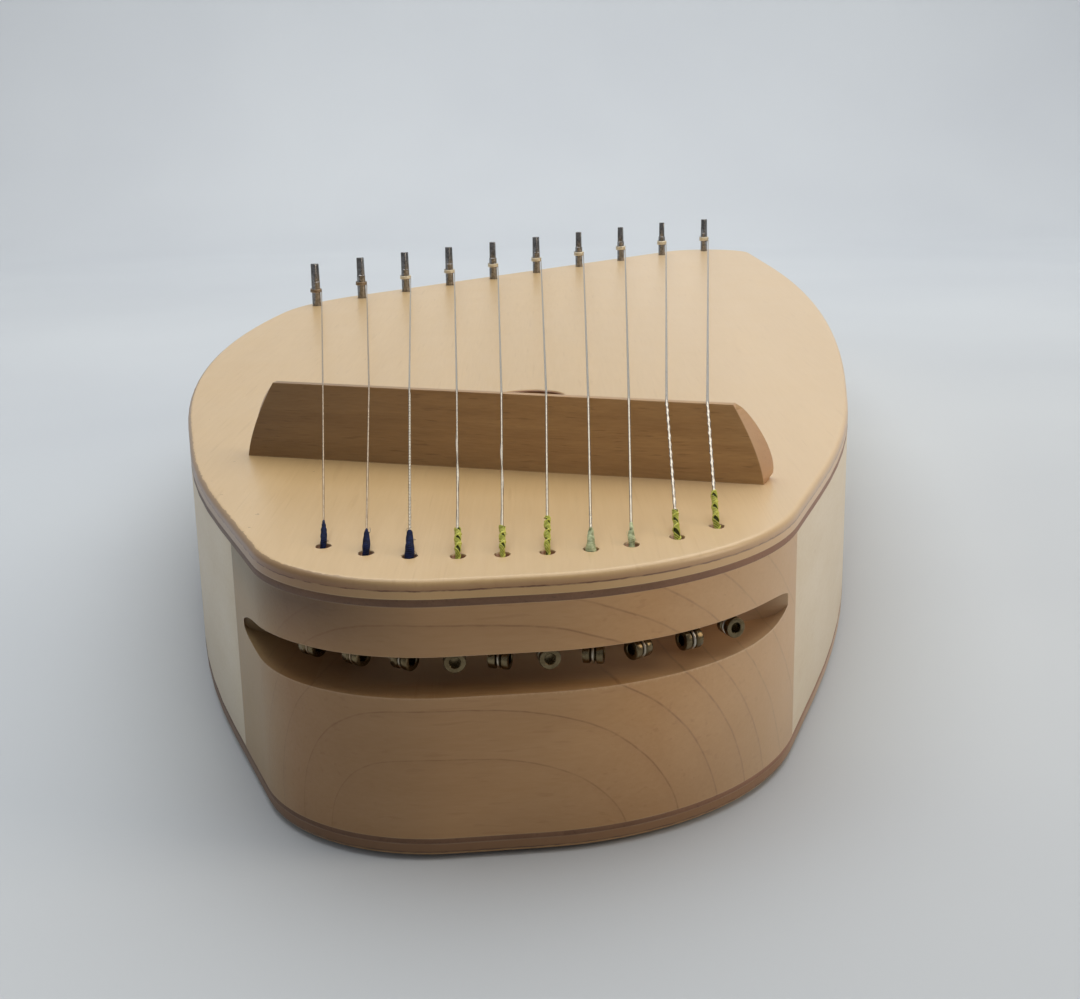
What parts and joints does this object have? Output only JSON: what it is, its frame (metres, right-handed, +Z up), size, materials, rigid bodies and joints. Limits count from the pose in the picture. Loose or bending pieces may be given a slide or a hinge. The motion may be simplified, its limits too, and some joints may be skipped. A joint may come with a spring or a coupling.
{
  "type": "kantele",
  "caption": "Fan-shaped box zither with a row of tuning pins on a slanted edge, a raised bridge, a round sound hole and strings hooked in at a slotted tail.",
  "frame": {"origin": "middle of the underside's bounding box, on the table", "axes": "+Y from the narrow tail to the slanted edge with the tuning pins, +X towards the long strings, +Z up out of the soundboard"},
  "size_m": [0.3049, 0.8049, 0.093],
  "materials": {
    "birch_ply_top": "satin lacquer",
    "dark_binding": "satin lacquer",
    "birch_rib": "satin lacquer",
    "maple_block": "satin lacquer",
    "maple_inner": "bare, sanded",
    "birch_ply_back": "satin lacquer",
    "spruce_inner": "bare, sanded",
    "walnut_bridge": "satin oil",
    "pin_steel": "blued, satin",
    "string_steel": "bright drawn wire",
    "blue_silk": "wound silk thread",
    "lime_silk": "wound silk thread",
    "pale_silk": "wound silk thread"
  },
  "bodies": {
    "box": {"soundboard": "birch_ply_top", "upper_binding": "dark_binding", "side_rib_left": "birch_rib", "side_rib_right": "birch_rib", "tail_block": "maple_block", "pin_block": "maple_inner", "lower_binding": "dark_binding", "back_plate": "birch_ply_back", "upper_lining_left": "spruce_inner", "upper_lining_right": "spruce_inner", "lower_lining": "spruce_inner", "soundboard_brace_1": "spruce_inner", "soundboard_brace_2": "spruce_inner", "back_brace_1": "spruce_inner", "back_brace_2": "spruce_inner", "bridge": "walnut_bridge", "string_1": "string_steel", "string_2": "string_steel", "string_3": "string_steel", "string_4": "string_steel", "string_5": "string_steel", "string_6": "string_steel", "string_7": "string_steel", "string_8": "string_steel", "string_9": "string_steel", "string_10": "string_steel", "silk_wrap_1": "blue_silk", "silk_wrap_2": "blue_silk", "silk_wrap_3": "blue_silk", "silk_wrap_4": "lime_silk", "silk_wrap_5": "lime_silk", "silk_wrap_6": "lime_silk", "silk_wrap_7": "pale_silk", "silk_wrap_8": "pale_silk", "silk_wrap_9": "lime_silk", "silk_wrap_10": "lime_silk"},
    "pin_1": {"tuning_pin_1": "pin_steel", "string_coil_1": "string_steel"},
    "pin_2": {"tuning_pin_2": "pin_steel", "string_coil_2": "string_steel"},
    "pin_3": {"tuning_pin_3": "pin_steel", "string_coil_3": "string_steel"},
    "pin_4": {"tuning_pin_4": "pin_steel", "string_coil_4": "string_steel"},
    "pin_5": {"tuning_pin_5": "pin_steel", "string_coil_5": "string_steel"},
    "pin_6": {"tuning_pin_6": "pin_steel", "string_coil_6": "string_steel"},
    "pin_7": {"tuning_pin_7": "pin_steel", "string_coil_7": "string_steel"},
    "pin_8": {"tuning_pin_8": "pin_steel", "string_coil_8": "string_steel"},
    "pin_9": {"tuning_pin_9": "pin_steel", "string_coil_9": "string_steel"},
    "pin_10": {"tuning_pin_10": "pin_steel", "string_coil_10": "string_steel"}
  },
  "joints": [
    {"name": "tuning_pin_1_turn", "type": "hinge", "parent": "box", "child": "pin_1", "pos_m": [-0.13081, 0.10489, 0.069], "axis": [0, 0, 1], "range_deg": [-990, 45]},
    {"name": "tuning_pin_2_turn", "type": "hinge", "parent": "box", "child": "pin_2", "pos_m": [-0.10891, 0.13665, 0.069], "axis": [0, 0, 1], "range_deg": [-990, 45]},
    {"name": "tuning_pin_3_turn", "type": "hinge", "parent": "box", "child": "pin_3", "pos_m": [-0.08551, 0.16498, 0.069], "axis": [0, 0, 1], "range_deg": [-990, 45]},
    {"name": "tuning_pin_4_turn", "type": "hinge", "parent": "box", "child": "pin_4", "pos_m": [-0.0606, 0.19426, 0.069], "axis": [0, 0, 1], "range_deg": [-990, 45]},
    {"name": "tuning_pin_5_turn", "type": "hinge", "parent": "box", "child": "pin_5", "pos_m": [-0.03419, 0.22525, 0.069], "axis": [0, 0, 1], "range_deg": [-990, 45]},
    {"name": "tuning_pin_6_turn", "type": "hinge", "parent": "box", "child": "pin_6", "pos_m": [-0.00627, 0.258, 0.069], "axis": [0, 0, 1], "range_deg": [-990, 45]},
    {"name": "tuning_pin_7_turn", "type": "hinge", "parent": "box", "child": "pin_7", "pos_m": [0.02315, 0.29252, 0.069], "axis": [0, 0, 1], "range_deg": [-990, 45]},
    {"name": "tuning_pin_8_turn", "type": "hinge", "parent": "box", "child": "pin_8", "pos_m": [0.05408, 0.32865, 0.069], "axis": [0, 0, 1], "range_deg": [-990, 45]},
    {"name": "tuning_pin_9_turn", "type": "hinge", "parent": "box", "child": "pin_9", "pos_m": [0.08651, 0.36457, 0.069], "axis": [0, 0, 1], "range_deg": [-990, 45]},
    {"name": "tuning_pin_10_turn", "type": "hinge", "parent": "box", "child": "pin_10", "pos_m": [0.12045, 0.38966, 0.069], "axis": [0, 0, 1], "range_deg": [-990, 45]}
  ]
}
